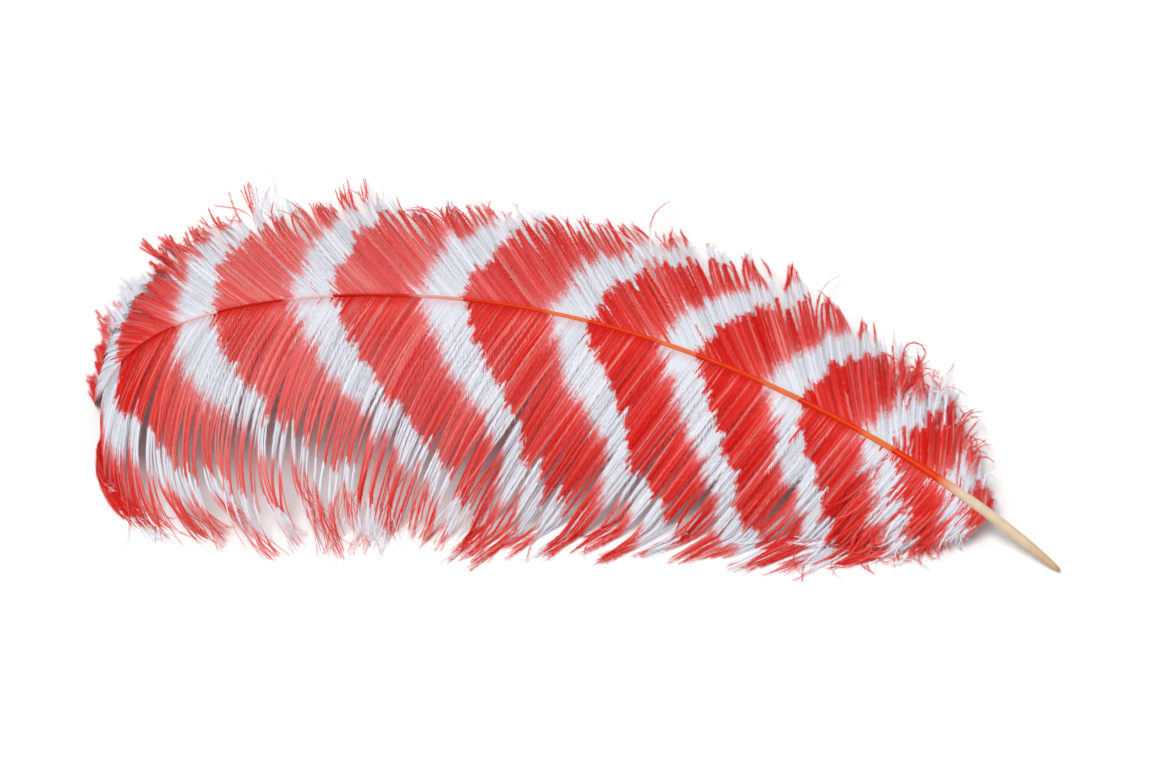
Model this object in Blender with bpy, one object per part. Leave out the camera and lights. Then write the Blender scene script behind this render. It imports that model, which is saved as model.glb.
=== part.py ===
"""An ostrich plume that lies on a flat surface with its curved side up.

It grew as one piece, so it is one solid: the bare quill, the tapering shaft, and a vane on each side
that parts into pointed locks. The quill's end, the drooping tip and the ends of the locks rest on the
surface. +X runs from the tip to the quill, +Y is the back vane's side, and +Z is up. Metres throughout.
"""

import math
import random

import bpy
import numpy as np
from mathutils import Vector

# The shaft's route, from the quill's end to the tip
SHAFT_ROUTE = [
    (0.186, -0.006, 0.0014),
    (0.120, 0.023, 0.0195),
    (0.049, 0.039, 0.035),
    (-0.017, 0.043, 0.044),
    (-0.090, 0.034, 0.0465),
    (-0.135, 0.020, 0.043),
    (-0.158, 0.010, 0.036),
    (-0.170, 0.002, 0.0275),
    (-0.176, -0.003, 0.019),
]
ROUTE_DEGREE = 6
OUTLINE_MIDDLE = (-0.0091, 0.0411)  # the middle of the whole outline in the route's numbers: the origin
SHAFT_STATIONS = 56
SHAFT_SIDES = 10

# Radii of the shaft, by share of its length from the quill's end
SHAFT_RADII = [(0.0, 0.0013), (0.02, 0.0018), (0.08, 0.0020), (0.14, 0.0019), (0.6, 0.0014), (1.0, 0.0009)]

# The vanes begin past the bare quill and end at the shaft's tip
VANE_START = 0.046
VANE_END_GAP = 0.002
LOCKS_PER_SIDE = 29
ROWS = 12
VANE_THICKNESS = 0.0013

# Length of the barbs of each vane, by share of the vane from its foot to its tip
FRONT_LENGTHS = [
    (0.0, 0.046), (0.08, 0.068), (0.2, 0.090), (0.4, 0.100), (0.74, 0.104), (0.8, 0.099), (0.86, 0.092),
    (0.92, 0.084), (0.96, 0.066), (1.0, 0.046),
]
BACK_LENGTHS = [
    (0.0, 0.050), (0.08, 0.078), (0.2, 0.112), (0.4, 0.124), (0.6, 0.131), (0.74, 0.133), (0.8, 0.121),
    (0.86, 0.099), (0.9, 0.079), (0.94, 0.060), (0.97, 0.044), (1.0, 0.028),
]

# Degrees from the shaft's direction to the tip, by share: at a barb's root, halfway out and at its end
FRONT_HEADINGS = [
    [(0.0, 90), (0.12, 82), (0.3, 74), (0.5, 66), (0.7, 58), (0.85, 46), (0.93, 32), (1.0, 10)],
    [(0.0, 80), (0.3, 73), (0.5, 72), (0.7, 80), (0.85, 72), (0.93, 48), (1.0, 16)],
    [(0.0, 62), (0.3, 66), (0.5, 84), (0.7, 130), (0.85, 130), (0.93, 104), (1.0, 40)],
]
BACK_HEADINGS = [
    [(0.0, 62), (0.12, 50), (0.3, 46), (0.7, 53), (0.85, 52), (0.93, 46), (1.0, 24)],
    [(0.0, 62), (0.3, 52), (0.5, 55), (0.7, 60), (0.85, 60), (0.93, 50), (1.0, 34)],
    [(0.0, 64), (0.3, 58), (0.5, 62), (0.7, 68), (0.85, 66), (0.93, 54), (1.0, 40)],
]

# Degrees that a barb bends below the vane's level, by share: at its root and at its end
FRONT_DROOPS = [
    [(0.0, 24), (0.4, 24), (0.7, 18), (0.9, 14), (1.0, 8)],
    [(0.0, 40), (0.8, 42), (0.93, 50), (1.0, 50)],
]
BACK_DROOPS = [
    [(0.0, 8), (0.5, 14), (0.85, 14), (1.0, 6)],
    [(0.0, 40), (0.3, 38), (0.6, 33), (0.8, 34), (0.93, 48), (1.0, 46)],
]
DROOP_POWER = 1.3

# A lock's share of its full width along its barbs; the slits between locks start where it narrows
SLIT_START = 0.5
LOCK_WIDTHS = [(SLIT_START, 1.0), (0.6, 0.88), (0.8, 0.74), (0.92, 0.5), (1.0, 0.14)]
LOCK_CROWN = 0.0016

# How much the locks differ past the slits: share of length, least at the tip, and degrees at the end
LENGTH_SPREAD = [(0.0, 0.10), (0.78, 0.10), (0.86, 0.04), (1.0, 0.03)]
TURN_SPREAD = 3.0
SEED = 7


def read_table(table, share):
    """Reads a table of (share, value) pairs between its entries."""
    shares, values = zip(*table)
    return float(np.interp(share, shares, values))


def shaft_line(count):
    """Evenly spaced points on a smooth curve along the shaft's route, and the curve's length."""
    route = np.array(SHAFT_ROUTE)
    route[:, :2] -= OUTLINE_MIDDLE
    chord = np.concatenate([[0.0], np.cumsum(np.linalg.norm(np.diff(route, axis=0), axis=1))])
    knots = chord / chord[-1]
    fine = np.linspace(0.0, 1.0, 801)
    curve = np.stack(
        [np.polyval(np.polyfit(knots, route[:, axis], ROUTE_DEGREE), fine) for axis in range(3)], axis=1
    )
    run = np.concatenate([[0.0], np.cumsum(np.linalg.norm(np.diff(curve, axis=0), axis=1))])
    even = np.linspace(0.0, run[-1], count)
    points = np.stack([np.interp(even, run, curve[:, axis]) for axis in range(3)], axis=1)
    return [Vector(point) for point in points], run[-1]


FINE_LINE, SHAFT_LENGTH = shaft_line(801)


def shaft_frame(distance):
    """The shaft's point, its direction to the tip and its level direction to the back vane's side."""
    place = min(max(distance / SHAFT_LENGTH, 0.0), 1.0) * (len(FINE_LINE) - 1)
    index = min(int(place), len(FINE_LINE) - 2)
    point = FINE_LINE[index].lerp(FINE_LINE[index + 1], place - index)
    near = FINE_LINE[max(index - 6, 0)]
    far = FINE_LINE[min(index + 6, len(FINE_LINE) - 1)]
    forward = (far - near).normalized()
    backwards = forward.cross(Vector((0, 0, 1))).normalized()
    return point, forward, backwards


def barb_line(share, side, stretch, turn):
    """Points along a barb from the shaft's axis to its end; side is 1 for the back vane, -1 for the front.

    stretch and turn are how its lock differs past the slits, in length and in degrees of heading.
    """
    vane_length = SHAFT_LENGTH - VANE_START - VANE_END_GAP
    point, forward, backwards = shaft_frame(VANE_START + share * vane_length)
    upwards = backwards.cross(forward)
    at_root, halfway, at_end = [read_table(table, share) for table in (BACK_HEADINGS if side > 0 else FRONT_HEADINGS)]
    root_droop, end_droop = [read_table(table, share) for table in (BACK_DROOPS if side > 0 else FRONT_DROOPS)]
    length = read_table(BACK_LENGTHS if side > 0 else FRONT_LENGTHS, share)
    lowest = VANE_THICKNESS / 2
    points = [point.copy()]
    for row in range(ROWS):
        along = (row + 0.5) / ROWS
        past_slit = max(along - SLIT_START, 0.0) / (1 - SLIT_START)
        heading = (
            at_root * (1 - along) * (1 - 2 * along)
            + halfway * 4 * along * (1 - along)
            + at_end * along * (2 * along - 1)
        )
        heading = math.radians(heading + turn * past_slit)
        droop = math.radians(root_droop + (end_droop - root_droop) * along**DROOP_POWER)
        step = length / ROWS * (stretch if past_slit else 1.0)
        level = forward * math.cos(heading) + backwards * side * math.sin(heading)
        way = level * math.cos(droop) - upwards * math.sin(droop)
        after = points[-1] + way * step
        if after.z < lowest:
            after = points[-1] + Vector((way.x, way.y, 0)).normalized() * step
            after.z = lowest
        points.append(after)
    return points


def vane_mesh():
    """Both vanes as one sheet through the shaft's axis, slit into locks from SLIT_START outwards."""
    rng = random.Random(SEED)
    vertices, faces, index_of = [], [], {}

    def vertex(key, place):
        if key not in index_of:
            index_of[key] = len(vertices)
            vertices.append(place)
        return index_of[key]

    for side in (-1, 1):
        for lock in range(LOCKS_PER_SIDE):
            shares = [(lock + part) / LOCKS_PER_SIDE for part in (0.0, 0.5, 1.0)]
            stretch = 1 + read_table(LENGTH_SPREAD, lock / LOCKS_PER_SIDE) * rng.uniform(-2, 1)
            turn = TURN_SPREAD * rng.uniform(-1, 1)
            lines = [barb_line(share, side, stretch, turn) for share in shares]
            rows = []
            for row in range(ROWS + 1):
                along = row / ROWS
                width = read_table(LOCK_WIDTHS, along)
                parted = along > SLIT_START
                middle = lines[1][row] + Vector((0, 0, LOCK_CROWN * min(along / SLIT_START, 1.0)))
                corners = []
                for part in range(3):
                    place = middle if part == 1 else lines[1][row].lerp(lines[part][row], width)
                    own_lock = lock if parted and part != 1 else None
                    own_side = side if row else 0
                    corners.append(vertex((own_side, 2 * lock + part, row, own_lock), place))
                rows.append(corners)
            for near, far in zip(rows, rows[1:]):
                for part in range(2):
                    face = [near[part], near[part + 1], far[part + 1], far[part]]
                    faces.append(face if side < 0 else face[::-1])

    mesh = bpy.data.meshes.new("feather")
    mesh.from_pydata(vertices, [], faces)
    mesh.update()
    return mesh


def shaft_object():
    """The quill and shaft: a tapering round tube with closed ends, used by the union and not built itself."""
    points, _ = shaft_line(SHAFT_STATIONS)
    curve = bpy.data.curves.new("shaft_curve", "CURVE")
    curve.dimensions = "3D"
    curve.bevel_depth = 1.0
    curve.bevel_resolution = SHAFT_SIDES // 2 - 2
    curve.use_fill_caps = True
    spline = curve.splines.new("POLY")
    spline.points.add(len(points) - 1)
    for number, (knot, point) in enumerate(zip(spline.points, points)):
        knot.co = (*point, 1.0)
        knot.radius = read_table(SHAFT_RADII, number / (len(points) - 1))
    guide = bpy.data.objects.new("shaft_guide", curve)
    bpy.context.scene.collection.objects.link(guide)
    bpy.context.view_layer.update()
    tube = bpy.data.meshes.new_from_object(guide.evaluated_get(bpy.context.evaluated_depsgraph_get()))
    bpy.data.objects.remove(guide, do_unlink=True)

    shaft = bpy.data.objects.new("shaft_shape", tube)
    bpy.context.scene.collection.objects.link(shaft)
    weld = shaft.modifiers.new("weld caps", "WELD")
    weld.merge_threshold = 0.00001
    shaft.hide_render = True
    shaft.display_type = "WIRE"
    return shaft


def feather_material():
    """Dyed barbs: matt red."""
    material = bpy.data.materials.new("dyed_barbs")
    material.use_nodes = True
    shader = material.node_tree.nodes["Principled BSDF"]
    shader.inputs["Base Color"].default_value = (0.55, 0.02, 0.015, 1.0)
    shader.inputs["Roughness"].default_value = 0.7
    return material


def build_feather():
    """The plume: the slit sheet of both vanes made thick, and the shaft united with it."""
    feather = bpy.data.objects.new("feather", vane_mesh())
    bpy.context.scene.collection.objects.link(feather)
    feather.data.materials.append(feather_material())

    thicken = feather.modifiers.new("vane thickness", "SOLIDIFY")
    thicken.thickness = VANE_THICKNESS
    thicken.offset = 0.0

    join = feather.modifiers.new("shaft", "BOOLEAN")
    join.operation = "UNION"
    join.solver = "EXACT"
    join.object = shaft_object()
    return feather


def main():
    for old in list(bpy.data.objects):
        bpy.data.objects.remove(old, do_unlink=True)
    build_feather()
    bpy.context.view_layer.update()


main()
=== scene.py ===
# %% [markdown]
# # A dyed ostrich plume
#
# This lesson dresses one plain solid, an ostrich plume that lies with its curved side up, as the real
# thing: a horny shaft and more than a thousand soft barbs, each with its own fringe, dyed in bands.
# The frame holds the solid at its real size, so every new piece is placed in the same metres.

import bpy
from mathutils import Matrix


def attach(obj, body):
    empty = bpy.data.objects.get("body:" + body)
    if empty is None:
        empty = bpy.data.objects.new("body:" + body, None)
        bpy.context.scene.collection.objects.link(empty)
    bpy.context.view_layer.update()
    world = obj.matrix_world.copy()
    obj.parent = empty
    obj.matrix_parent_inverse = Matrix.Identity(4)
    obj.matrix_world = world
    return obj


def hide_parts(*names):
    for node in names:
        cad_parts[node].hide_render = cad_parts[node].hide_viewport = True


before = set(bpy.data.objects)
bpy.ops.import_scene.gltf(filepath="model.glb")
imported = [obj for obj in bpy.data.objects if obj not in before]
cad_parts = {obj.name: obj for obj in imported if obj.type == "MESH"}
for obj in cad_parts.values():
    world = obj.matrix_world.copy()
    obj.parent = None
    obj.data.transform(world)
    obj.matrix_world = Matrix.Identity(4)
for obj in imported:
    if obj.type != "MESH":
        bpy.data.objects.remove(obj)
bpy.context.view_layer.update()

import math
import random

import bmesh
import bpy
import numpy as np
from mathutils import Matrix, Vector

# %% [markdown]
# ## Where the shaft runs
#
# A feather is built on its shaft, so the shaft's line comes first. It is a smooth curve through a few
# points, with an arch in the middle and a tip that droops. A polynomial through the points bends as
# evenly as horn does, where straight runs would look like wire.

# %% The shaft's line
SHAFT_ROUTE = [
    (0.186, -0.006, 0.0014),
    (0.120, 0.023, 0.0195),
    (0.049, 0.039, 0.035),
    (-0.017, 0.043, 0.044),
    (-0.090, 0.034, 0.0465),
    (-0.135, 0.020, 0.043),
    (-0.158, 0.010, 0.036),
    (-0.170, 0.002, 0.0275),
    (-0.176, -0.003, 0.019),
]
OUTLINE_MIDDLE = (-0.0091, 0.0411)
ROUTE_DEGREE = 6
FINE_POINTS = 801


def even_points(places, count):
    """Points spaced evenly along a line, and the line's length."""
    steps = np.linalg.norm(np.diff(places, axis=0), axis=1)
    run = np.concatenate([[0.0], np.cumsum(steps)])
    wanted = np.linspace(0.0, run[-1], count)
    return np.stack([np.interp(wanted, run, places[:, axis]) for axis in range(3)], axis=1), run[-1]


route = np.array(SHAFT_ROUTE)
route[:, :2] -= OUTLINE_MIDDLE
chords = np.linalg.norm(np.diff(route, axis=0), axis=1)
knots = np.concatenate([[0.0], np.cumsum(chords)]) / chords.sum()
fine = np.linspace(0.0, 1.0, FINE_POINTS)
smooth_route = np.stack(
    [np.polyval(np.polyfit(knots, route[:, axis], ROUTE_DEGREE), fine) for axis in range(3)], axis=1
)
shaft_line, shaft_length = even_points(smooth_route, FINE_POINTS)
print(f"shaft {shaft_length * 1000:.0f} mm long, {shaft_line[:, 2].max() * 1000:.0f} mm high")

# %% [markdown]
# Every barb needs to know three directions where it grows: along the shaft to the tip, level to the
# back vane's side, and up out of the vane. They are read from the line at any distance along it.

# %% Directions along the shaft
SMOOTHING = 6


def unit_rows(vectors):
    """The same directions, one long."""
    return vectors / np.linalg.norm(vectors, axis=-1, keepdims=True)


numbers = np.arange(FINE_POINTS)
ahead = shaft_line[np.minimum(numbers + SMOOTHING, FINE_POINTS - 1)]
behind = shaft_line[np.maximum(numbers - SMOOTHING, 0)]
shaft_forward = unit_rows(ahead - behind)
shaft_backwards = np.cross(shaft_forward, [0.0, 0.0, 1.0])


def along_shaft(distance):
    """The shaft's points and its three directions at distances from the quill's end."""
    place = np.clip(distance / shaft_length, 0.0, 1.0) * (FINE_POINTS - 1)
    point, forward, backwards = [
        np.stack([np.interp(place, numbers, values[:, axis]) for axis in range(3)], axis=-1)
        for values in (shaft_line, shaft_forward, shaft_backwards)
    ]
    forward, backwards = unit_rows(forward), unit_rows(backwards)
    return point, forward, backwards, np.cross(backwards, forward)


print("the tip points", np.round(shaft_forward[-1], 2))

# %% [markdown]
# ## The camera
#
# The camera stands where the photographer stood, about 0.95 m off and 45 degrees up, and looks at the
# middle of the plume. A longer lens than the photographer's lets the plume fill the frame.

# %% The camera
CAMERA_PLACE = Vector((0.3018, -0.5849, 0.6796))
CAMERA_UP = Vector((-0.1635, 0.7817, 0.6018))
CAMERA_TARGET = Vector((0.0086, -0.0034, 0.012))
LENS = 79.0

camera_data = bpy.data.cameras.new("camera")
camera_data.lens = LENS
camera = bpy.data.objects.new("camera", camera_data)
bpy.context.scene.collection.objects.link(camera)
view_way = (CAMERA_TARGET - CAMERA_PLACE).normalized()
view_right = view_way.cross(CAMERA_UP).normalized()
view_up = view_right.cross(view_way)
camera_turn = Matrix((view_right, view_up, -view_way)).transposed()
camera.matrix_world = Matrix.Translation(CAMERA_PLACE) @ camera_turn.to_4x4()
bpy.context.scene.camera = camera
print(f"camera {(CAMERA_TARGET - CAMERA_PLACE).length:.2f} m off")

# %% [markdown]
# ## How the barbs run
#
# A barb leaves the shaft slanting to the tip, curves outwards and droops under its own weight until
# its end lies on the surface. Its heading, in degrees from the shaft's direction, is given at the root,
# halfway out and at the end, and its droop below the vane's level at the root and the end. All of them
# change along the vane, so each is a short table of (share of the vane, value). The same law shaped
# the solid, which is why the barbs lie where it is.

# %% The law of the barbs
VANE_START = 0.046
VANE_END_GAP = 0.002
FRONT, BACK = -1, 1
LENGTHS = {
    FRONT: [
        (0.0, 0.046), (0.08, 0.068), (0.2, 0.090), (0.4, 0.100), (0.74, 0.104), (0.8, 0.099), (0.86, 0.092),
        (0.92, 0.084), (0.96, 0.066), (1.0, 0.046),
    ],
    BACK: [
        (0.0, 0.050), (0.08, 0.078), (0.2, 0.112), (0.4, 0.124), (0.6, 0.131), (0.74, 0.133), (0.8, 0.121),
        (0.86, 0.099), (0.9, 0.079), (0.94, 0.060), (0.97, 0.044), (1.0, 0.028),
    ],
}
HEADINGS = {
    FRONT: [
        [(0.0, 90), (0.12, 82), (0.3, 74), (0.5, 66), (0.7, 58), (0.85, 46), (0.93, 32), (1.0, 10)],
        [(0.0, 80), (0.3, 73), (0.5, 72), (0.7, 80), (0.85, 72), (0.93, 48), (1.0, 16)],
        [(0.0, 62), (0.3, 66), (0.5, 84), (0.7, 130), (0.85, 130), (0.93, 104), (1.0, 40)],
    ],
    BACK: [
        [(0.0, 62), (0.12, 50), (0.3, 46), (0.7, 53), (0.85, 52), (0.93, 46), (1.0, 24)],
        [(0.0, 62), (0.3, 52), (0.5, 55), (0.7, 60), (0.85, 60), (0.93, 50), (1.0, 34)],
        [(0.0, 64), (0.3, 58), (0.5, 62), (0.7, 68), (0.85, 66), (0.93, 54), (1.0, 40)],
    ],
}
DROOPS = {
    FRONT: [
        [(0.0, 24), (0.4, 24), (0.7, 18), (0.9, 14), (1.0, 8)],
        [(0.0, 40), (0.8, 42), (0.93, 50), (1.0, 50)],
    ],
    BACK: [
        [(0.0, 8), (0.5, 14), (0.85, 14), (1.0, 6)],
        [(0.0, 40), (0.3, 38), (0.6, 33), (0.8, 34), (0.93, 48), (1.0, 46)],
    ],
}
DROOP_POWER = 1.3
LOWEST = 0.0004


def between(table, share):
    """Reads a table of (share, value) pairs between its entries."""
    shares, values = zip(*table)
    return np.interp(share, shares, values)


def rise(value, start, stop):
    """Goes smoothly from 0 at start to 1 at stop."""
    part = np.clip((value - start) / (stop - start), 0.0, 1.0)
    return part * part * (3 - 2 * part)


# %% [markdown]
# The lines of all barbs are walked out together, one short step at a time. A step that would go
# through the surface lies down on it instead and keeps its direction. What makes barbs differ is kept
# in one dictionary of arrays: the share of the usual length, how far the outer half stretches and
# turns, how the end curls, and how much the whole barb sags, in degrees.

# %% Walk the barbs out from the shaft


def alike(count):
    """How barbs differ when they don't."""
    grown = {name: np.zeros(count) for name in ("turn", "curl", "sag")}
    return {**grown, "length": np.ones(count), "stretch": np.ones(count)}


def barb_lines(share, side, stations, grown):
    """Roots, lengths and lines of many barbs, and the way up out of the vane at each."""
    root = VANE_START + share * (shaft_length - VANE_START - VANE_END_GAP)
    point, forward, backwards, upwards = along_shaft(root)
    at_root, halfway, at_end = [between(table, share) for table in HEADINGS[side]]
    root_droop, end_droop = [between(table, share) for table in DROOPS[side]]
    length = between(LENGTHS[side], share) * grown["length"]
    lines = [point]
    for number in range(stations):
        along = (number + 0.5) / stations
        outer = max(along - 0.5, 0.0) / 0.5
        heading = (
            at_root * (1 - along) * (1 - 2 * along)
            + halfway * 4 * along * (1 - along)
            + at_end * along * (2 * along - 1)
        )
        heading = np.radians(heading + grown["turn"] * outer + grown["curl"] * rise(along, 0.72, 1.0))
        droop = root_droop + (end_droop - root_droop) * along**DROOP_POWER
        droop = np.radians(droop + grown["sag"] * rise(along, 0.05, 0.8))[:, None]
        step = (length / stations * (grown["stretch"] if outer > 0 else 1.0))[:, None]
        level = forward * np.cos(heading)[:, None] + backwards * side * np.sin(heading)[:, None]
        way = level * np.cos(droop) - upwards * np.sin(droop)
        after = lines[-1] + way * step
        flat = way * (1.0, 1.0, 0.0)
        lying = lines[-1] + unit_rows(flat) * step
        lying[:, 2] = LOWEST
        lines.append(np.where(after[:, 2:] < LOWEST, lying, after))
    return root, length, np.stack(lines, axis=1), upwards


_, _, sample, _ = barb_lines(np.array([0.5]), FRONT, 40, alike(1))
print("a middle barb ends at", np.round(sample[0, -1], 3))

# %% [markdown]
# ## Locks, tufts and strays
#
# Near the shaft the barbs lie side by side as one silky film. Further out they draw together into
# locks with dark slits between, and each lock parts into finer tufts that end in points. That is done
# by pulling each barb's line towards the middle line of its lock, more and more towards the end, and
# then towards the middle of its tuft. Each lock has its own length and lean, drawn in the order in
# which the solid drew them.
#
# Two tables say how this changes along a vane. PARTED is how far the tufts stand apart, and GATHERED
# how much the barbs draw together at all: round the tip they stay spread out as an even fan.

# %% The locks and their tufts
LOCKS_PER_SIDE = 29
TUFTS_PER_LOCK = 7
SLIT_START = 0.5
LOCK_WIDTHS = [(SLIT_START, 1.0), (0.6, 0.88), (0.8, 0.74), (0.92, 0.5), (1.0, 0.14)]
LENGTH_SPREAD = [(0.0, 0.10), (0.78, 0.10), (0.86, 0.04), (1.0, 0.03)]
TURN_SPREAD = 3.0
PARTED = {
    FRONT: [(0.0, 0.3), (0.4, 0.45), (0.55, 0.8), (0.65, 1.0), (0.88, 1.0), (0.94, 0.3), (1.0, 0.1)],
    BACK: [(0.0, 0.3), (0.5, 0.4), (0.7, 0.65), (0.82, 0.6), (0.88, 0.15), (1.0, 0.1)],
}
GATHERED = {
    FRONT: [(0.0, 1.0), (0.88, 1.0), (0.95, 0.5), (1.0, 0.3)],
    BACK: [(0.0, 1.0), (0.78, 1.0), (0.86, 0.4), (1.0, 0.3)],
}
LOCKS_START = (0.22, 0.60)
LEAST_LOCK_PULL, MORE_LOCK_PULL = 0.25, 0.70
TUFT_BLUR = 0.04
OPEN_ENDS = 0.45
LOCK_SEED = 7
BARB_SEED = 20

lock_draw = random.Random(LOCK_SEED)
lock_growth = {
    side: [
        (
            1 + between(LENGTH_SPREAD, lock / LOCKS_PER_SIDE) * lock_draw.uniform(-2, 1),
            TURN_SPREAD * lock_draw.uniform(-1, 1),
        )
        for lock in range(LOCKS_PER_SIDE)
    ]
    for side in (FRONT, BACK)
}
chance = np.random.default_rng(BARB_SEED)


def pulled_to_locks(lines, share, side):
    """The barbs' lines drawn together into their locks."""
    stations = lines.shape[1] - 1
    along = np.linspace(0.0, 1.0, stations + 1)
    grown = alike(LOCKS_PER_SIDE)
    grown["stretch"], grown["turn"] = np.array(lock_growth[side]).T
    middles = (np.arange(LOCKS_PER_SIDE) + 0.5) / LOCKS_PER_SIDE
    _, _, middle_lines, _ = barb_lines(middles, side, stations, grown)
    lock = np.minimum((share * LOCKS_PER_SIDE).astype(int), LOCKS_PER_SIDE - 1)
    start = chance.uniform(*LOCKS_START, LOCKS_PER_SIDE)[lock][:, None]
    pull = (LEAST_LOCK_PULL + MORE_LOCK_PULL * chance.random(LOCKS_PER_SIDE))[lock][:, None]
    pull = pull * ((1 - 0.5 * between(PARTED[side], share)) * between(GATHERED[side], share))[:, None]
    past = SLIT_START + (1 - SLIT_START) * np.clip((along[None] - start) / (1 - start), 0.0, 1.0)
    width = 1 - pull * (1 - between(LOCK_WIDTHS, past))
    return middle_lines[lock] + (lines - middle_lines[lock]) * width[:, :, None]


def tuft_numbers(share, lock):
    """The number of each barb's tuft; a lock is cut into its tufts at random places."""
    cuts = np.sort(chance.random((LOCKS_PER_SIDE, TUFTS_PER_LOCK - 1)), axis=1)
    place = share * LOCKS_PER_SIDE - lock + chance.uniform(-TUFT_BLUR, TUFT_BLUR, len(share))
    return lock * TUFTS_PER_LOCK + (place[:, None] > cuts[lock]).sum(axis=1)


def pulled_to_tufts(lines, tuft, share, side):
    """The barbs' lines drawn together into their tufts, most where the vane is parted most."""
    along = np.linspace(0.0, 1.0, lines.shape[1])
    for number in np.unique(tuft):
        members = tuft == number
        parted = between(PARTED[side], share[members].mean()) * chance.uniform(0.5, 1.1)
        middle = lines[members].mean(axis=0)
        start = chance.uniform(0.25 - 0.07 * parted, 0.75 - 0.32 * parted)
        tight = 1 - chance.uniform(0.2, 0.75 - 0.3 * parted)
        tight *= between(GATHERED[side], share[members].mean())
        pull = tight * rise(along, start, min(start + 0.4 - 0.15 * parted, 1.0))
        pull *= 1 - OPEN_ENDS * rise(along, 0.86, 1.0)
        lines[members] += (middle - lines[members]) * pull[None, :, None]
    return lines


# %% [markdown]
# Here and there a vane has split: two neighbouring barbs have let go of each other, and a long narrow
# slit shows the dark below. The barbs on both sides of such a place are pushed apart along the shaft,
# and close up again before their ends. A slit is given by its share of the vane, the place of its
# middle along the barbs and half its length there.

# %% Slits in the vanes
SLITS = {
    FRONT: [
        (0.13, 0.45, 0.26), (0.20, 0.60, 0.28), (0.27, 0.50, 0.32), (0.36, 0.62, 0.30), (0.43, 0.50, 0.32),
        (0.50, 0.66, 0.32), (0.57, 0.55, 0.36), (0.64, 0.62, 0.36), (0.71, 0.55, 0.36), (0.77, 0.50, 0.34),
        (0.82, 0.62, 0.36), (0.872, 0.50, 0.48), (0.90, 0.62, 0.34), (0.93, 0.66, 0.30),
    ],
    BACK: [
        (0.16, 0.62, 0.30), (0.30, 0.55, 0.28), (0.41, 0.70, 0.30), (0.55, 0.52, 0.30), (0.68, 0.60, 0.34),
        (0.745, 0.66, 0.30), (0.80, 0.58, 0.34), (0.84, 0.70, 0.26), (0.89, 0.40, 0.22),
    ],
}
SLIT_HALF_WIDTH = 0.0014
SLIT_NEARBY = 0.007


def slit_apart(lines, share, side):
    """The barbs' lines pushed apart at the vane's slits."""
    _, forward, _, _ = along_shaft(VANE_START + share * (shaft_length - VANE_START - VANE_END_GAP))
    along = np.linspace(0.0, 1.0, lines.shape[1])
    for place, middle, half in SLITS[side]:
        width = SLIT_HALF_WIDTH * chance.uniform(0.5, 1.7)
        away = share - place
        push = np.sign(away) * width * np.exp(-np.abs(away) / SLIT_NEARBY)
        open_part = rise(along, middle - half, middle) * (1 - rise(along, middle, middle + half))
        lines = lines + push[:, None, None] * open_part[None, :, None] * forward[:, None]
    return lines


print("front locks run", [round(stretch, 2) for stretch, _ in lock_growth[FRONT]][:6], "of their length")

# %% [markdown]
# ## The dye
#
# The plume was tied and dipped, so the dye's bands cross the barbs. A band leaves the shaft towards
# the foot of the plume on both sides, because the barbs were drawn down the shaft when it was dyed:
# a point a little way out on a barb took the colour of the shaft further up. So a point is dyed as the
# shaft is at its root's distance plus its distance out times a slant. The slant changes along the vane
# and out along the barb, and gains a little at the front barbs' ends in the tip half. Whole numbers of
# the dye coordinate are the middles of the white bands, and the mesh stores it for the material.

# %% The dye coordinate
BAND_MIDDLES = [0.046, 0.0765, 0.116, 0.1565, 0.198, 0.248, 0.2975, 0.3415, 0.3855, 0.440, 0.520, 0.580]
BEFORE_FIRST_BAND = 0.030
SLANT_NEAR_SHAFT = {
    FRONT: [
        (0.0, 1.02), (0.31, 1.0), (0.38, 0.97), (0.48, 0.89), (0.59, 0.92), (0.66, 0.95), (0.73, 0.84),
        (0.8, 0.66), (0.87, 0.5), (0.94, 0.42), (1.0, 0.4),
    ],
    BACK: [
        (0.0, 0.52), (0.17, 0.66), (0.31, 0.66), (0.38, 0.6), (0.46, 0.6), (0.52, 0.58), (0.66, 0.49),
        (0.8, 0.37), (0.87, 0.35), (0.94, 0.46), (1.0, 0.5),
    ],
}
SLANT_FURTHER_OUT = {
    FRONT: [
        (0.0, 1.05), (0.38, 1.1), (0.47, 1.18), (0.54, 1.12), (0.6, 1.02), (0.66, 0.94), (0.73, 0.9),
        (0.8, 0.76), (0.87, 0.84), (0.94, 0.75), (1.0, 0.8),
    ],
    BACK: [
        (0.0, 0.6), (0.1, 0.63), (0.24, 0.73), (0.31, 0.70), (0.38, 0.6), (0.45, 0.56), (0.59, 0.5),
        (0.66, 0.46), (0.8, 0.38), (0.87, 0.46), (0.94, 0.62), (1.0, 0.7),
    ],
}
SLANT_GAINED_AT_ENDS = {
    FRONT: [(0.0, 0.0), (0.55, 0.0), (0.68, 0.14), (0.8, 0.2), (0.88, 0.16), (0.94, 0.05), (1.0, 0.0)],
    BACK: [(0.0, 0.0), (1.0, 0.0)],
}


def dye_coordinate(root, out, share, side):
    """How many white bands lie between the foot of the plume and a point out on a barb."""
    near, far = between(SLANT_NEAR_SHAFT[side], share), between(SLANT_FURTHER_OUT[side], share)
    part_out = out / between(LENGTHS[side], share)
    slant = near + (far - near) * rise(part_out, 0.15, 0.55)
    slant += between(SLANT_GAINED_AT_ENDS[side], share) * rise(part_out, 0.55, 1.0)
    middles = [BAND_MIDDLES[0] - BEFORE_FIRST_BAND] + BAND_MIDDLES
    return np.interp(root + slant * out, middles, range(len(middles)))


# %% [markdown]
# The dye isn't equally deep everywhere. It is strongest at the foot, round the tip and at the barbs'
# ends, and faded to salmon in a broad patch in the tip half of both vanes. How faded a point is goes
# from 0 to 1, and it too is stored on the mesh.

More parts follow.
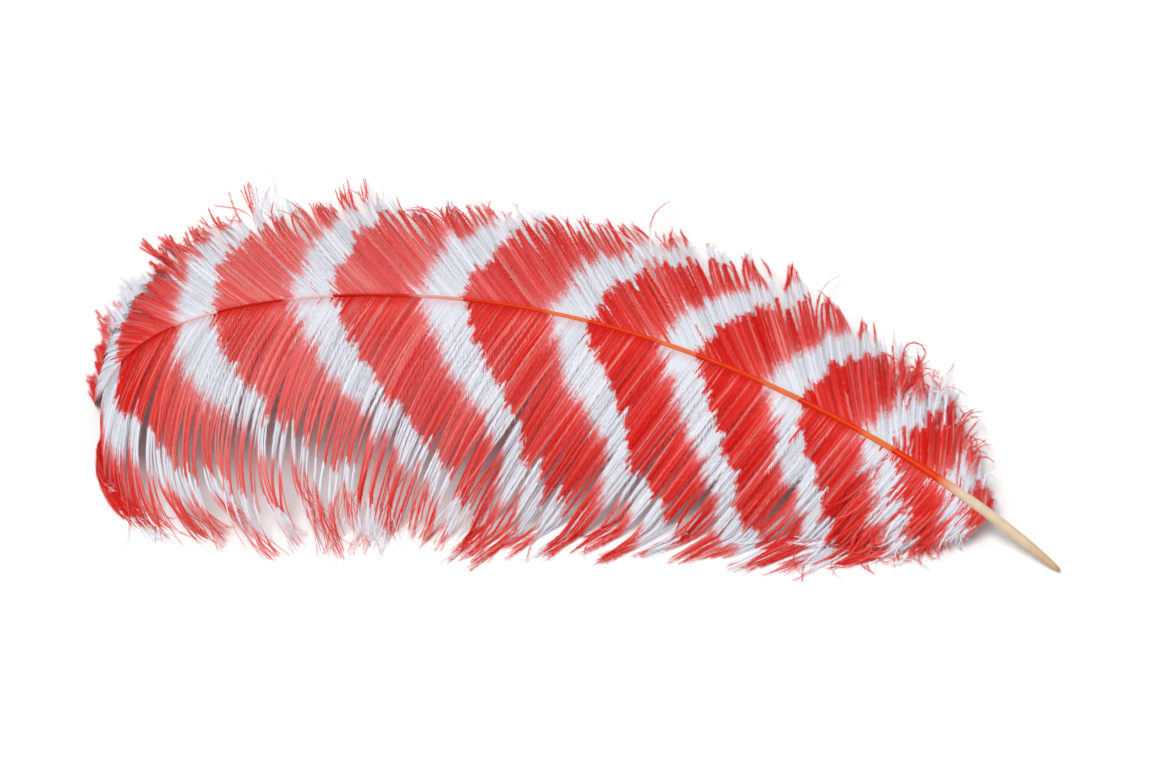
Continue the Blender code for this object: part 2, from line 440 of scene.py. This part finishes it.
# %% How faded the dye is
FADED_ALONG = [
    (0.0, 0.0), (0.3, 0.10), (0.45, 0.35), (0.6, 0.85), (0.7, 1.0), (0.78, 0.85), (0.85, 0.35), (0.92, 0.1),
    (1.0, 0.0),
]
FADED_OUT = {
    FRONT: [(0.0, 0.2), (0.12, 0.3), (0.3, 0.9), (0.5, 1.0), (0.7, 0.8), (0.9, 0.35), (1.0, 0.2)],
    BACK: [(0.0, 0.7), (0.15, 0.95), (0.45, 0.85), (0.6, 0.4), (0.72, 0.1), (1.0, 0.0)],
}


def faded(reach, share, side):
    """How faded the dye is at a point of a barb."""
    return between(FADED_ALONG, share) * between(FADED_OUT[side], reach)


print("bands cross the shaft at", [round(middle * 1000) for middle in BAND_MIDDLES[:9]], "mm")

# %% [markdown]
# ## One barb, many times
#
# An ostrich barb is a thin stem with long loose barbules down both sides, and no hooks to lock them,
# which is why the plume is soft. Here each barb is a narrow ribbon along its line, with one slim
# slanting point for each of its steps on either side. All the barbs of a piece are worked out
# together as arrays and joined in one mesh, because the export drops hair and particles.
#
# Where a vane is parted, the fringe closes up to its stem halfway out, so that the barbs show as fine
# strands. Round the tip their ends are blunt instead, with a longer and wider fringe.

# %% The measures of a barb
STEM_WIDTH = 0.00015
STEM_TAPER = [(0.0, 1.6), (0.15, 1.0), (0.8, 0.85), (1.0, 0.3)]
FRINGE_LENGTHS = [(0.0, 0.0012), (0.06, 0.0032), (0.55, 0.0034), (0.85, 0.0022), (1.0, 0.0010)]
FRINGE_SLANTS = [(0.0, 24), (0.45, 20), (0.75, 13), (1.0, 8)]
SLANT_SPREAD = 7.0
CLOSED_WHERE_PARTED = 0.72
BLUNT_FRINGE = 0.0013
BLUNT_SLANT = 12.0
ROOF_SLOPE = 13.0


def stem_directions(lines, upwards):
    """Along each barb: the way it runs, the way across it, and out of the vane."""
    way = unit_rows(np.gradient(lines, axis=1))
    out = unit_rows(upwards[:, None] - way * np.sum(way * upwards[:, None], axis=2, keepdims=True))
    return way, np.cross(out, way), out


def barb_points(barbs):
    """Points of many barbs: left edge, left fringe, right edge, right fringe, with what they carry."""
    lines, length = barbs["lines"], barbs["length"][:, None]
    count, stations = lines.shape[0], lines.shape[1] - 1
    along = np.linspace(0.0, 1.0, stations + 1)
    way, across, out = stem_directions(lines, barbs["upwards"])
    width = (STEM_WIDTH * between(STEM_TAPER, along))[None, :, None] * barbs["stoutness"][:, None, None]
    fringe = between(FRINGE_LENGTHS, along[:-1])[None] * barbs["fluff"][:, None]
    blunt = barbs["blunt"][:, None] * rise(along[:-1], 0.6, 0.9)[None]
    fringe = fringe + BLUNT_FRINGE * blunt
    row = np.arange(count)[:, None] + 0.5
    closed = CLOSED_WHERE_PARTED * barbs["parted"][:, None] * rise(along[:-1], 0.3, 0.6)[None]
    kept = []
    for hand in (-1, 1):
        slope = np.radians(ROOF_SLOPE + barbs["twist"] * hand)[:, None, None]
        outward = across * hand * np.cos(slope) - out * np.sin(slope)
        edge = lines + outward * width
        slant = between(FRINGE_SLANTS, along[:-1])[None]
        slant = slant + chance.normal(0.0, SLANT_SPREAD, (count, stations))
        slant = np.radians(slant * (1 - closed) + BLUNT_SLANT * blunt)[:, :, None]
        long = (fringe * chance.uniform(0.6, 1.3, (count, stations)))[:, :, None]
        base = (edge[:, :-1] + edge[:, 1:]) / 2
        tips = base + long * (way[:, :-1] * np.cos(slant) + outward[:, :-1] * np.sin(slant))
        edge_reach = np.broadcast_to(along[None], (count, stations + 1))
        tip_reach = along[None, :-1] + long[:, :, 0] / length
        for points, reach, offset, stem in ((edge, edge_reach, 0.2, 1.0), (tips, tip_reach, 0.42, 0.0)):
            kept.append((points, reach, row + offset * hand + 0 * reach, stem + 0 * reach))
    points, reach, rows, stem = [np.concatenate(values, axis=1) for values in zip(*kept)]
    points[:, :, 2] = np.maximum(points[:, :, 2], LOWEST / 2)
    return points, reach, rows, stem


print(f"a barb's stem is {STEM_WIDTH * 2000:.2f} mm wide")

# %% [markdown]
# The same faces serve every barb, so they are numbered once and repeated with a step. Each point
# keeps the dye's coordinate, how much painted shade it takes beside the shaft, where the shaft shades
# the roots most on the front vane, how faded it is, its reach from 0 at the shaft to 1 at the barb's
# end, how pale its stem is, and its barb's own tone. Locks and tufts have slipped a little since the
# dyeing, which makes the bands' edges jagged further out. The flat map lays the barbs side by side as
# straight rows.

# %% Join barbs into one mesh
# Painted shade of the shaft on the barbs' roots: full on the front vane, weaker on the back, gone by this
# reach.
SHAFT_SHADE_AT_ROOT = {FRONT: 1.0, BACK: 0.4}
SHAFT_SHADE_UP_TO = 0.06
FLAT_MARGIN = 0.01


def barb_faces(stations):
    """Faces of one barb: the ribbon's quads and the fringes' triangles."""
    sizes = [stations + 1, stations, stations + 1, stations]
    starts = np.concatenate([[0], np.cumsum(sizes)])
    left, left_tip, right, right_tip = [start + np.arange(size) for start, size in zip(starts, sizes)]
    ribbon = np.stack([left[:-1], left[1:], right[1:], right[:-1]], axis=1)
    left_fringe = np.stack([left[:-1], left_tip, left[1:]], axis=1)
    right_fringe = np.stack([right[1:], right_tip, right[:-1]], axis=1)
    return ribbon, np.concatenate([left_fringe, right_fringe]), int(starts[-1])


def joined_barbs(name, barbs):
    """One object of many barbs."""
    points, reach, rows, stem = barb_points(barbs)
    count = len(points)
    ribbon, fringes, points_each = barb_faces(barbs["lines"].shape[1] - 1)
    steps = (np.arange(count) * points_each)[:, None, None]
    faces = (ribbon[None] + steps).reshape(-1, 4).tolist() + (fringes[None] + steps).reshape(-1, 3).tolist()
    mesh = bpy.data.meshes.new(name)
    mesh.from_pydata(points.reshape(-1, 3).tolist(), [], faces)
    share, side = barbs["share"][:, None], barbs["side"]
    out = np.clip(reach, 0.0, 1.02) * barbs["length"][:, None]
    slipped = barbs["slipped"][:, None] * rise(reach, 0.15, 0.8)
    carried = {
        "dye": dye_coordinate(barbs["root"][:, None] + slipped, out, share, side),
        # painted shade beside the shaft
        "shaft_shade": SHAFT_SHADE_AT_ROOT[side] * (1 - rise(reach, 0.0, SHAFT_SHADE_UP_TO)),
        "reach": reach,
        "stem": stem * barbs["pale"][:, None],
        "tone": barbs["tone"][:, None] + 0 * reach,
        "faded": np.clip(faded(reach, share, side) + barbs["blotch"][:, None], 0.0, 1.0),
    }
    for label, values in carried.items():
        mesh.attributes.new(label, "FLOAT", "POINT").data.foreach_set("value", values.ravel())
    flat_reach = FLAT_MARGIN + (1 - 2 * FLAT_MARGIN) * np.clip(reach, 0.0, 1.0)
    flat = np.stack([flat_reach.ravel(), rows.ravel() / count], axis=1)
    corners = np.empty(len(mesh.loops), dtype=np.int32)
    mesh.loops.foreach_get("vertex_index", corners)
    mesh.uv_layers.new(name="OFBake").data.foreach_set("uv", flat[corners].ravel())
    piece = bpy.data.objects.new(name, mesh)
    bpy.context.scene.collection.objects.link(piece)
    print(f"{name}: {count} barbs, {(2 * len(ribbon) + len(fringes)) * count} triangles")
    return piece


# %% [markdown]
# ## The vanes
#
# Each vane has several hundred barbs. They are grown by the law, each with small differences, drawn
# into locks and tufts, lifted a little over and under each other, and joined in three pieces a side
# so that no piece is too heavy. A few barbs stray across the others, and a few are frizzy at the end.

# %% Grow the two vanes
BARBS_PER_SIDE = 690
CROWDED = [(0.0, 0.0), (0.70, 0.78), (1.0, 1.0)]
STATIONS = 150
PIECES_PER_SIDE = ["foot", "middle", "tip"]
SIDE_NAMES = {FRONT: "front", BACK: "back"}
STRAYS = 0.025
FRIZZY = {
    FRONT: [(0.0, 0.10), (0.90, 0.10), (0.95, 0.03), (1.0, 0.03)],
    BACK: [(0.0, 0.06), (0.76, 0.06), (0.84, 0.015), (1.0, 0.01)],
}
BLUNT = {
    FRONT: [(0.0, 0.0), (0.90, 0.0), (0.96, 0.6), (1.0, 1.0)],
    BACK: [(0.0, 0.1), (0.70, 0.2), (0.84, 1.0), (1.0, 1.0)],
}
END_CURLS = {
    FRONT: [(0.0, 0.0), (0.55, 0.0), (0.65, 14.0), (0.85, 20.0), (0.95, 10.0), (1.0, 0.0)],
    BACK: [(0.0, 0.0), (0.6, -4.0), (0.75, -10.0), (0.9, -12.0), (1.0, -4.0)],
}
STRAY_TURNS = (12, 34)
STRAY_RISES = (2, 6)
STRAY_LIFT = 0.0012
FRIZZ = 60.0
TUFT_LIFT, BARB_LIFT = 0.0004, 0.0002
DRAWN_UP_SHARE, DRAWN_UP = 0.12, 0.0035
DYE_SPREAD, DYE_SPREAD_SHARED = 0.0010, 0.0006
LOCK_SLIP, TUFT_SLIP = 0.0030, 0.0020
PALE_POWERS = [(0.0, 6.0), (0.45, 4.5), (0.65, 2.2), (0.8, 2.2), (0.95, 4.0)]


def spread(size, members):
    """Random differences that the members of a lock or tuft share."""
    return chance.normal(0.0, size, int(members.max()) + 1)[members]


def grow_vane(side):
    """All the barbs of one vane, as arrays."""
    count = BARBS_PER_SIDE
    share = between(CROWDED, (np.arange(count) + 0.5 + chance.uniform(-0.4, 0.4, count)) / count)
    lock = np.minimum((share * LOCKS_PER_SIDE).astype(int), LOCKS_PER_SIDE - 1)
    tuft = tuft_numbers(share, lock)
    parted = between(PARTED[side], share)
    stray = chance.random(count) < STRAYS * (1 - rise(share, 0.70, 0.80))
    frizzy = chance.random(count) < between(FRIZZY[side], share)
    stretch, lean = np.array(lock_growth[side]).T
    loose = 1 + 2.5 * (1 - rise(share, 0.0, 0.12))
    grown = {
        "length": 1 + loose * chance.normal(0.0, 0.03, count),
        "stretch": stretch[lock] + spread(0.05, tuft) + chance.normal(0.0, 0.04, count),
        "turn": lean[lock] + (loose + parted) * spread(2.5, tuft) + chance.normal(0.0, 1.5, count),
        "curl": spread(6.0, tuft) + loose * chance.normal(0.0, 9.0, count),
        "sag": spread(1.2, lock) + spread(1.6, tuft) + chance.normal(0.0, 1.2, count),
    }
    grown["curl"] += frizzy * chance.normal(0.0, FRIZZ, count) + between(END_CURLS[side], share)
    grown["turn"] += stray * chance.choice([-1, 1], count) * chance.uniform(*STRAY_TURNS, count)
    grown["sag"] -= stray * chance.uniform(*STRAY_RISES, count)
    root, length, lines, upwards = barb_lines(share, side, STATIONS, grown)
    kept_free = lines[stray].copy()
    lines = pulled_to_tufts(pulled_to_locks(lines, share, side), tuft, share, side)
    lines = slit_apart(lines, share, side)
    lines[stray] = kept_free
    along = np.linspace(0.0, 1.0, STATIONS + 1)
    lift = (spread(TUFT_LIFT, tuft) + chance.normal(0.0, BARB_LIFT, count))[:, None]
    lift = lift * rise(along, 0.0, 0.25)[None]
    lift += (stray * STRAY_LIFT)[:, None] * rise(along, 0.1, 0.3)[None]
    lines[:, :, 2] = np.maximum(lines[:, :, 2] + lift, LOWEST + 0.0007 * chance.random(count)[:, None])
    drawn_up = (chance.random(count) < DRAWN_UP_SHARE) * chance.normal(0.0, DRAWN_UP, count)
    dyed_at = root + drawn_up + chance.normal(0.0, DYE_SPREAD, count)
    dyed_at = dyed_at + spread(DYE_SPREAD_SHARED, tuft) + spread(DYE_SPREAD_SHARED, lock)
    return {
        "share": share,
        "root": dyed_at,
        "slipped": spread(LOCK_SLIP, lock) + spread(TUFT_SLIP, tuft),
        "parted": parted,
        "blunt": between(BLUNT[side], share),
        "length": length,
        "lines": lines,
        "upwards": upwards,
        "twist": spread(3.0, tuft) + chance.normal(0.0, 5.0, count),
        "stoutness": chance.uniform(0.8, 1.25, count),
        "fluff": chance.uniform(0.8, 1.2, count),
        "tone": np.clip(1.0 + parted * spread(0.03, tuft) + chance.normal(-0.01, 0.05, count), 0.82, 1.1),
        "pale": chance.random(count) ** between(PALE_POWERS, share),
        "blotch": spread(0.10, tuft) + chance.normal(0.0, 0.08, count),
    }


# %% [markdown]
# A vane is cut into its three pieces by share, and each piece works out the dye of its own barbs.

# %% Make the vanes' pieces


def part_of(barbs, members, side):
    """Some of a vane's barbs."""
    return {"side": side, **{name: values[members] for name, values in barbs.items()}}


barb_pieces = []
for side in (FRONT, BACK):
    barbs = grow_vane(side)
    size = BARBS_PER_SIDE // len(PIECES_PER_SIDE)
    for number, place in enumerate(PIECES_PER_SIDE):
        members = slice(number * size, (number + 1) * size)
        piece = joined_barbs(f"{SIDE_NAMES[side]}_vane_{place}", part_of(barbs, members, side))
        barb_pieces.append(piece)

# %% [markdown]
# ## Down at the foot
#
# Below the vanes, where the quill turns to shaft, short curly barbs stand out loosely on both sides.
# They follow the same law as the first barbs of each vane, and only their random differences are
# larger: they are shorter, more fringed, and turn and curl as they please.

# %% Grow the down
DOWN_PER_SIDE = 170
DOWN_STATIONS = 80
DOWN_FROM, DOWN_TO = -0.045, 0.075


def grow_down(side):
    """Short curly barbs of one side, as arrays."""
    count = DOWN_PER_SIDE
    share = chance.uniform(DOWN_FROM, DOWN_TO, count)
    grown = {
        "length": chance.uniform(0.4, 0.95, count) * rise(share, DOWN_FROM - 0.03, 0.01),
        "stretch": np.ones(count),
        "turn": chance.normal(18.0, 28.0, count),
        "curl": chance.normal(0.0, 100.0, count),
        "sag": chance.normal(-2.0, 9.0, count),
    }
    root, length, lines, upwards = barb_lines(share, side, DOWN_STATIONS, grown)
    lines[:, :, 2] = np.maximum(lines[:, :, 2], LOWEST + 0.0012 * chance.random(count)[:, None])
    return {
        "side": side,
        "share": share,
        "root": root + chance.normal(0.0, 0.004, count),
        "slipped": np.zeros(count),
        "length": length,
        "lines": lines,
        "upwards": upwards,
        "parted": np.zeros(count),
        "blunt": np.zeros(count),
        "twist": chance.normal(0.0, 14.0, count),
        "stoutness": chance.uniform(0.6, 0.9, count),
        "fluff": chance.uniform(0.7, 1.1, count),
        "tone": np.clip(1.0 + chance.normal(0.0, 0.04, count), 0.85, 1.1),
        "pale": 0.6 * chance.random(count),
        "blotch": np.zeros(count),
    }


for side in (FRONT, BACK):
    barb_pieces.append(joined_barbs(f"{SIDE_NAMES[side]}_down", grow_down(side)))

# %% [markdown]
# ## The dyed barbs' material
#
# The colour comes from the dye coordinate on the mesh: its fraction goes through a colour ramp. The
# white band is sharp towards the foot, where the binding was tight, and bleeds pink towards the tip.
# Barbs are dull but silky, and thin enough to let light through, so a translucent shader is mixed in.

# %% The material of the barbs
WHITE_SHARE = 0.34
UNDYED = (0.83, 0.84, 0.90)
DEEP_DYE = [
    (0.000, (0.770, 0.012, 0.007)),
    (0.040, UNDYED),
    (0.290, UNDYED),
    (0.345, (0.850, 0.500, 0.530)),
    (0.400, (0.840, 0.100, 0.100)),
    (0.520, (0.810, 0.024, 0.016)),
    (0.750, (0.770, 0.010, 0.006)),
    (1.000, (0.750, 0.008, 0.004)),
]
FADED_DYE = [
    (0.000, (0.850, 0.140, 0.135)),
    (0.040, UNDYED),
    (0.290, UNDYED),
    (0.345, (0.870, 0.580, 0.620)),
    (0.400, (0.880, 0.230, 0.240)),
    (0.520, (0.870, 0.150, 0.145)),
    (0.750, (0.860, 0.125, 0.118)),
    (1.000, (0.850, 0.130, 0.125)),
]
PALE_STEM = (0.90, 0.38, 0.34)
PALE_SHARE = 0.6
TRANSLUCENT_SHARE = 0.12
WOBBLE = 0.10
WOBBLE_SCALE = 700.0
BANDS_BEFORE = 10.0


def attribute(tree, label):
    """The value that the mesh stores under a name."""
    node = tree.nodes.new("ShaderNodeAttribute")
    node.attribute_name = label
    return node.outputs["Fac"]


def worked(tree, operation, first, second):
    """A Math node's result; each input is a number or a socket."""
    node = tree.nodes.new("ShaderNodeMath")
    node.operation = operation
    for socket, value in zip(node.inputs, (first, second)):
        if isinstance(value, (int, float)):
            socket.default_value = value
        else:
            tree.links.new(value, socket)
    return node.outputs["Value"]


def ramped(tree, value, stops):
    """A colour ramp through (place, colour) stops."""
    node = tree.nodes.new("ShaderNodeValToRGB")
    elements = node.color_ramp.elements
    while len(elements) < len(stops):
        elements.new(0.5)
    for element, (place, colour) in zip(elements, stops):
        element.position = place
        element.color = (*colour, 1.0)
    tree.links.new(value, node.inputs["Fac"])
    return node.outputs["Color"]


def mixed(tree, share, first, second):
    """Two colours mixed by a share; each is a colour or a socket."""
    node = tree.nodes.new("ShaderNodeMix")
    node.data_type = "RGBA"
    for socket, value in zip((node.inputs[0], node.inputs[6], node.inputs[7]), (share, first, second)):
        if isinstance(value, tuple):
            socket.default_value = (*value, 1.0)
        elif isinstance(value, float):
            socket.default_value = value
        else:
            tree.links.new(value, socket)
    return node.outputs[2]


def noise(tree, scale, detail):
    """Fine noise on the object's own coordinates."""
    node = tree.nodes.new("ShaderNodeTexNoise")
    node.inputs["Scale"].default_value = scale
    node.inputs["Detail"].default_value = detail
    coordinates = tree.nodes.new("ShaderNodeTexCoord")
    tree.links.new(coordinates.outputs["Object"], node.inputs["Vector"])
    return node.outputs["Fac"]


def dye_phase(tree):
    """Where a point lies between one white band's tight edge, 0, and the next one's, 1."""
    uneven = worked(tree, "SUBTRACT", noise(tree, WOBBLE_SCALE, 2.0), 0.5)
    wobble = worked(tree, "MULTIPLY", uneven, WOBBLE)
    shifted = worked(tree, "ADD", attribute(tree, "dye"), wobble)
    shifted = worked(tree, "ADD", shifted, BANDS_BEFORE + WHITE_SHARE / 2)
    return worked(tree, "FRACT", shifted, 0.0)


# %% [markdown]
# Two things vary along with the dye. The stems take it less well than their fringes, so they show as
# fine pale lines in the red. Beside the shaft the roots are darkened with painted shade, the shade of
# the shaft, which is deepest on the front vane.

# %% Make the barbs' material
# Painted shade beside the shaft: the colours that darken the barbs' roots in the white and in the red.
WHITE_IN_SHAFT_SHADE = (0.96, 0.72, 0.72)
RED_IN_SHAFT_SHADE = (0.86, 0.22, 0.16)
RED_PARTS = [(0.0, (1, 1, 1)), (0.03, (0, 0, 0)), (0.35, (0, 0, 0)), (0.42, (1, 1, 1))]


def barb_material():
    """Dyed, silky, thin barbs."""
    material = bpy.data.materials.new("dyed_barbs")
    material.use_nodes = True
    tree = material.node_tree
    shader = tree.nodes["Principled BSDF"]
    phase = dye_phase(tree)
    dyes = [ramped(tree, phase, stops) for stops in (DEEP_DYE, FADED_DYE)]
    dyed = mixed(tree, attribute(tree, "faded"), *dyes)
    is_red = ramped(tree, phase, RED_PARTS)
    pale = worked(tree, "MULTIPLY", attribute(tree, "stem"), is_red)
    colour = mixed(tree, worked(tree, "MULTIPLY", pale, PALE_SHARE), dyed, PALE_STEM)
    # painted shade beside the shaft: the colour is multiplied down at the roots
    shaft_shade = tree.nodes.new("ShaderNodeVectorMath")
    shaft_shade.operation = "MULTIPLY"
    tree.links.new(colour, shaft_shade.inputs[0])
    shaft_shade_colour = mixed(tree, is_red, WHITE_IN_SHAFT_SHADE, RED_IN_SHAFT_SHADE)
    tree.links.new(mixed(tree, attribute(tree, "shaft_shade"), (1.0, 1.0, 1.0), shaft_shade_colour), shaft_shade.inputs[1])
    toned = tree.nodes.new("ShaderNodeVectorMath")
    toned.operation = "SCALE"
    tree.links.new(shaft_shade.outputs["Vector"], toned.inputs[0])
    tree.links.new(attribute(tree, "tone"), toned.inputs["Scale"])
    tree.links.new(toned.outputs["Vector"], shader.inputs["Base Color"])
    shader.inputs["Roughness"].default_value = 0.6
    shader.inputs["Specular IOR Level"].default_value = 0.1
    glow = tree.nodes.new("ShaderNodeBsdfTranslucent")
    tree.links.new(toned.outputs["Vector"], glow.inputs["Color"])
    mix = tree.nodes.new("ShaderNodeMixShader")
    mix.inputs["Fac"].default_value = TRANSLUCENT_SHARE
    tree.links.new(shader.outputs["BSDF"], mix.inputs[1])
    tree.links.new(glow.outputs["BSDF"], mix.inputs[2])
    tree.links.new(mix.outputs["Shader"], tree.nodes["Material Output"].inputs["Surface"])
    return material


barb_finish = barb_material()
print("material", barb_finish.name, "with", len(barb_finish.node_tree.nodes), "nodes")

# %% [markdown]
# ## The shaft and quill
#
# The shaft is one horny piece that tapers from the bare cream quill to a hair at the tip. A circle is
# laid across the line at each station, as wide as the shaft is there, and each is bridged to the one
# before, which gives one clean skin with closed ends.

# %% The shaft's form
SHAFT_SIDES = 16
SHAFT_STATIONS = 150
SHAFT_RADII = [
    (0.0, 0.0006), (0.01, 0.0012), (0.04, 0.0018), (0.09, 0.0019), (0.13, 0.0015), (0.2, 0.0011),
    (0.4, 0.0009), (0.58, 0.0007), (0.75, 0.0006), (0.9, 0.00045), (1.0, 0.0002),
]
SUNK = 0.25
# The side of the shaft, across it, that takes the painted highlight.
HIGHLIGHT_SIDE = Vector((-0.45, 0.89, 0.0))


def across_shaft(share):
    """The matrix that lays a circle across the shaft, a little below the barbs' roots."""
    point, forward, backwards, upwards = along_shaft(np.array([share * shaft_length]))
    middle = point[0] - upwards[0] * between(SHAFT_RADII, share) * SUNK
    turned = Matrix((backwards[0], upwards[0], forward[0])).transposed()
    return Matrix.Translation(Vector(middle)) @ turned.to_4x4()


def shaft_piece():
    """The quill and shaft as one closed skin."""
    skin = bmesh.new()
    reach = skin.verts.layers.float.new("reach")
    dye = skin.verts.layers.float.new("dye")
    painted_highlight = skin.verts.layers.float.new("painted_highlight")
    edges_before = []
    for share in np.linspace(0.0, 1.0, SHAFT_STATIONS):
        ring = bmesh.ops.create_circle(
            skin,
            segments=SHAFT_SIDES,
            radius=between(SHAFT_RADII, share),
            matrix=across_shaft(share),
            cap_ends=share in (0.0, 1.0),
        )["verts"]
        across = across_shaft(share)
        for vertex in ring:
            vertex[reach] = share
            vertex[dye] = dye_coordinate(share * shaft_length, 0.0, share, FRONT)
            # how nearly each point faces the painted highlight's side
            vertex[painted_highlight] = (across.inverted() @ vertex.co).normalized().dot(HIGHLIGHT_SIDE)
        edges = list({edge for vertex in ring for edge in vertex.link_edges})
        if edges_before:
            bmesh.ops.bridge_loops(skin, edges=edges_before + edges)
        edges_before = edges
    bmesh.ops.recalc_face_normals(skin, faces=skin.faces)
    mesh = bpy.data.meshes.new("shaft")
    skin.to_mesh(mesh)
    skin.free()
    mesh.shade_smooth()
    piece = bpy.data.objects.new("shaft", mesh)
    bpy.context.scene.collection.objects.link(piece)
    return piece


shaft = shaft_piece()
print("shaft has", len(shaft.data.polygons), "faces")

# %% [markdown]
# ## The shaft's material
#
# The horn took the dye as a glossy orange-red, paler where the white bands cross it, and the bare
# quill stayed cream. A painted highlight, a lighter line along the upper side towards the back vane,
# stands in for the light's gleam on the horn. Towards the tip the horn is thin and shows the barbs'
# own red and white. All of that follows the distance along the shaft, the dye's coordinate and, for
# the highlight, the side of the shaft, so it needs no painted image.

# %% The material of the shaft
QUILL_SHARE = VANE_START / shaft_length
HORN = [
    (0.0, (0.76, 0.19, 0.065)), (0.30, (0.76, 0.18, 0.055)), (0.40, (0.71, 0.036, 0.003)),
    (1.0, (0.69, 0.022, 0.002)),
]
# Painted highlight on the shaft: its colour, and how narrow its line is around the shaft.
HIGHLIGHT_HORN = (0.84, 0.075, 0.012)
HIGHLIGHT_LINE = [(0.94, (0, 0, 0)), (0.995, (0.8, 0.8, 0.8))]
THIN_TIP = [(0.55, (0, 0, 0)), (0.72, (1, 1, 1))]
STREAK_DEPTH = 0.3
STREAK_SCALE = 260.0
TIP_HORN = [
    (0.0, (0.76, 0.50, 0.50)), (0.30, (0.78, 0.48, 0.48)), (0.42, (0.52, 0.008, 0.006)),
    (1.0, (0.48, 0.005, 0.004)),
]
QUILL = [
    (0.0, (0.58, 0.36, 0.18)), (QUILL_SHARE * 0.35, (0.70, 0.54, 0.37)),
    (QUILL_SHARE * 0.9, (0.72, 0.57, 0.42)),
]


def shaft_material():
    """Glossy dyed horn with a cream quill."""
    material = bpy.data.materials.new("dyed_horn")
    material.use_nodes = True
    tree = material.node_tree
    shader = tree.nodes["Principled BSDF"]
    phase = dye_phase(tree)
    reach = attribute(tree, "reach")
    near_tip = ramped(tree, reach, THIN_TIP)
    # painted highlight: a lighter line along the shaft's upper side
    highlight = ramped(tree, attribute(tree, "painted_highlight"), HIGHLIGHT_LINE)
    highlighted_horn = mixed(tree, highlight, ramped(tree, phase, HORN), HIGHLIGHT_HORN)
    horn = mixed(tree, near_tip, highlighted_horn, ramped(tree, phase, TIP_HORN))
    bare = ramped(tree, reach, [(QUILL_SHARE * 0.92, (0, 0, 0)), (QUILL_SHARE * 1.12, (1, 1, 1))])
    colour = mixed(tree, bare, ramped(tree, reach, QUILL), horn)
    streaks = tree.nodes.new("ShaderNodeVectorMath")
    streaks.operation = "SCALE"
    tree.links.new(colour, streaks.inputs[0])
    streak = worked(tree, "MULTIPLY", noise(tree, STREAK_SCALE, 4.0), STREAK_DEPTH)
    streak = worked(tree, "ADD", streak, 1 - STREAK_DEPTH / 2)
    tree.links.new(streak, streaks.inputs["Scale"])
    tree.links.new(streaks.outputs["Vector"], shader.inputs["Base Color"])
    shader.inputs["Roughness"].default_value = 0.35
    shader.inputs["Specular IOR Level"].default_value = 0.07
    return material


shaft.data.materials.append(shaft_material())
print("material", shaft.data.materials[0].name)

# %% [markdown]
# ## Fit the pieces to the frame
#
# All the pieces are one feather, so they ride on the one body, stand for its one solid and take its
# one finish from the record.

# %% Ride and replace
for piece in barb_pieces:
    piece.data.materials.append(barb_finish)
for piece in [shaft, *barb_pieces]:
    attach(piece, "root")
    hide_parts("feather")
print(len(barb_pieces) + 1, "pieces stand for the feather")

# %% [markdown]
# ## Floor and light
#
# The plume lies on white board in bright, even studio light: a broad sun from almost straight above
# gives the soft shadow below the vanes, and a white world fills it.

# %% The floor
FLOOR_SIZE = 8.0
BOARD_WHITE = (0.93, 0.93, 0.92, 1.0)

floor_mesh = bpy.data.meshes.new("floor")
floor_shape = bmesh.new()
bmesh.ops.create_grid(floor_shape, x_segments=1, y_segments=1, size=FLOOR_SIZE / 2)
floor_shape.to_mesh(floor_mesh)
floor_shape.free()
floor = bpy.data.objects.new("floor", floor_mesh)
bpy.context.scene.collection.objects.link(floor)
floor_finish = bpy.data.materials.new("white_board")
floor_finish.use_nodes = True
board_shader = floor_finish.node_tree.nodes["Principled BSDF"]
board_shader.inputs["Base Color"].default_value = BOARD_WHITE
board_shader.inputs["Roughness"].default_value = 0.9
floor_mesh.materials.append(floor_finish)

# %% The light
SUN_FROM = Vector((-0.12, -0.18, 1.0))
SUN_STRENGTH = 2.12
SUN_BREADTH = 40
SKY_WHITE = (0.96, 0.98, 1.0, 1.0)
SKY_STRENGTH = 0.48

sun_data = bpy.data.lights.new("studio_sun", "SUN")
sun_data.energy = SUN_STRENGTH
sun_data.angle = math.radians(SUN_BREADTH)
sun = bpy.data.objects.new("studio_sun", sun_data)
sun.rotation_euler = SUN_FROM.to_track_quat("Z", "Y").to_euler()
bpy.context.scene.collection.objects.link(sun)

world = bpy.data.worlds.new("studio")
world.use_nodes = True
sky = world.node_tree.nodes["Background"]
sky.inputs["Color"].default_value = SKY_WHITE
sky.inputs["Strength"].default_value = SKY_STRENGTH
bpy.context.scene.world = world
bpy.context.scene.view_settings.view_transform = "Standard"
print("light set")

# %% Update the scene
bpy.context.view_layer.update()
